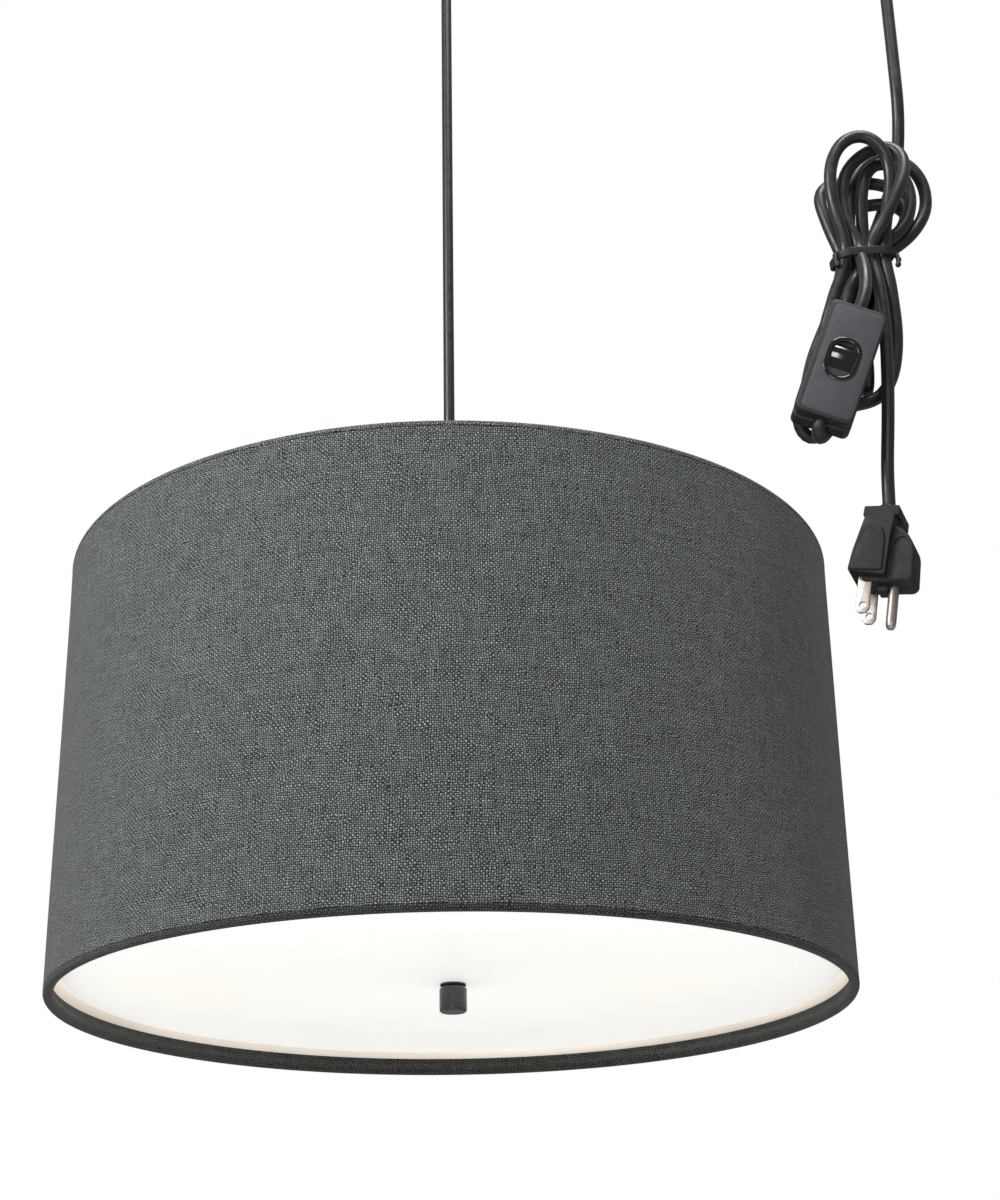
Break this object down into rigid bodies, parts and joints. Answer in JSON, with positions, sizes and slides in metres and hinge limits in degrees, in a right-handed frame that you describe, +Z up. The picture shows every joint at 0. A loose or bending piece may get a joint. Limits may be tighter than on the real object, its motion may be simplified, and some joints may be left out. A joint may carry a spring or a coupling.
{
  "type": "plug-in drum pendant lamp",
  "caption": "Swag lamp with a woven drum shade, opal diffuser and finial, hung from ceiling hooks by a long cord that carries an in-line rocker switch and a grounded plug.",
  "frame": {"origin": "in the ceiling plane, on the plumb line of the lamp, on the first hook plate's upper face", "axes": "+Z up into the ceiling; +X from the lamp towards the second hook and the hanging cord; -Y towards the side on which the switch faces"},
  "size_m": [0.4435, 0.4148, 0.7922],
  "materials": {
    "fabric": "matte plain weave",
    "liner": "satin translucent sheet",
    "steel": "zinc plated",
    "black_enamel": "satin black enamel",
    "bakelite": "moulded phenolic",
    "brass": "bright",
    "bulb_cap": "bright",
    "bulb_glass": "frosted white, lit",
    "diffuser": "satin opal acrylic, lit from above",
    "nylon": "moulded nylon",
    "cord": "satin vinyl jacket",
    "switch": "fine matt moulding",
    "rocker": "polished",
    "plug": "satin moulded vinyl",
    "nickel": "nickel plate"
  },
  "bodies": {
    "ceiling_hardware": {"hook_plate_1": "black_enamel", "ceiling_hook_1": "black_enamel", "hook_plate_2": "black_enamel", "ceiling_hook_2": "black_enamel", "cord_swag": "cord", "cord_hank": "cord", "cord_tail": "cord", "cord_tie": "cord", "switch_base": "switch", "switch_cover": "switch", "switch_pivot": "steel", "switch_screw_1": "steel", "switch_screw_2": "steel", "switch_contact_fixed": "brass", "switch_contact_spring": "brass", "plug_body": "plug", "plug_blade_line": "nickel", "plug_blade_neutral": "nickel", "plug_ground_pin": "nickel"},
    "lamp": {"shade_fabric": "fabric", "shade_liner": "liner", "top_ring": "steel", "bottom_ring": "steel", "top_hem": "fabric", "bottom_hem": "fabric", "spider_hub": "steel", "spider_arm_1": "steel", "spider_arm_2": "steel", "spider_arm_3": "steel", "cord_grip": "nylon", "top_nut": "steel", "lock_washer": "steel", "top_nipple": "steel", "cup_nut": "steel", "cluster_cup": "black_enamel", "cluster_cover": "black_enamel", "stem_nut_inner": "steel", "stem_nut_outer": "steel", "lower_stem": "steel", "diffuser_nut": "steel", "cord_riser": "cord", "socket_cap_1": "black_enamel", "socket_base_1": "bakelite", "socket_contact_1": "brass", "socket_shell_1": "bakelite", "socket_thread_1": "brass", "socket_cap_2": "black_enamel", "socket_base_2": "bakelite", "socket_contact_2": "brass", "socket_shell_2": "bakelite", "socket_thread_2": "brass"},
    "diffuser_plate": {"diffuser": "diffuser", "diffuser_washer": "nylon"},
    "finial_knob": {"finial": "black_enamel"},
    "bulb_1": {"bulb_base_1": "bulb_cap", "bulb_glass_1": "bulb_glass"},
    "bulb_2": {"bulb_base_2": "bulb_cap", "bulb_glass_2": "bulb_glass"},
    "rocker": {"switch_rocker": "rocker"}
  },
  "joints": [
    {"name": "lamp_swing", "type": "hinge", "parent": "ceiling_hardware", "child": "lamp", "pos_m": [0, 0, -0.0544], "axis": [0.7849, -0.6196, 0], "range_deg": [-10, 10]},
    {"name": "diffuser_lower", "type": "slide", "parent": "lamp", "child": "diffuser_plate", "axis": [0, 0, -1], "range_m": [0, 0.00658]},
    {"name": "finial_turn", "type": "hinge", "parent": "diffuser_plate", "child": "finial_knob", "pos_m": [0, 0, -0.79], "axis": [0, 0, 1], "range_deg": [0, 2520]},
    {"name": "bulb_1_out", "type": "slide", "parent": "lamp", "child": "bulb_1", "axis": [0.9397, 0, -0.342], "range_m": [0, 0.022]},
    {"name": "bulb_2_out", "type": "slide", "parent": "lamp", "child": "bulb_2", "axis": [-0.9397, 0, -0.342], "range_m": [0, 0.022]},
    {"name": "switch_rocker_tip", "type": "hinge", "parent": "ceiling_hardware", "child": "rocker", "pos_m": [0.1813, -0.2051, -0.535], "axis": [0.9336, 0, -0.3584], "range_deg": [-16, 0]}
  ],
  "couplings": [
    {"joint": "finial_turn", "follows": "diffuser_lower", "rad_per_m": 6679}
  ]
}
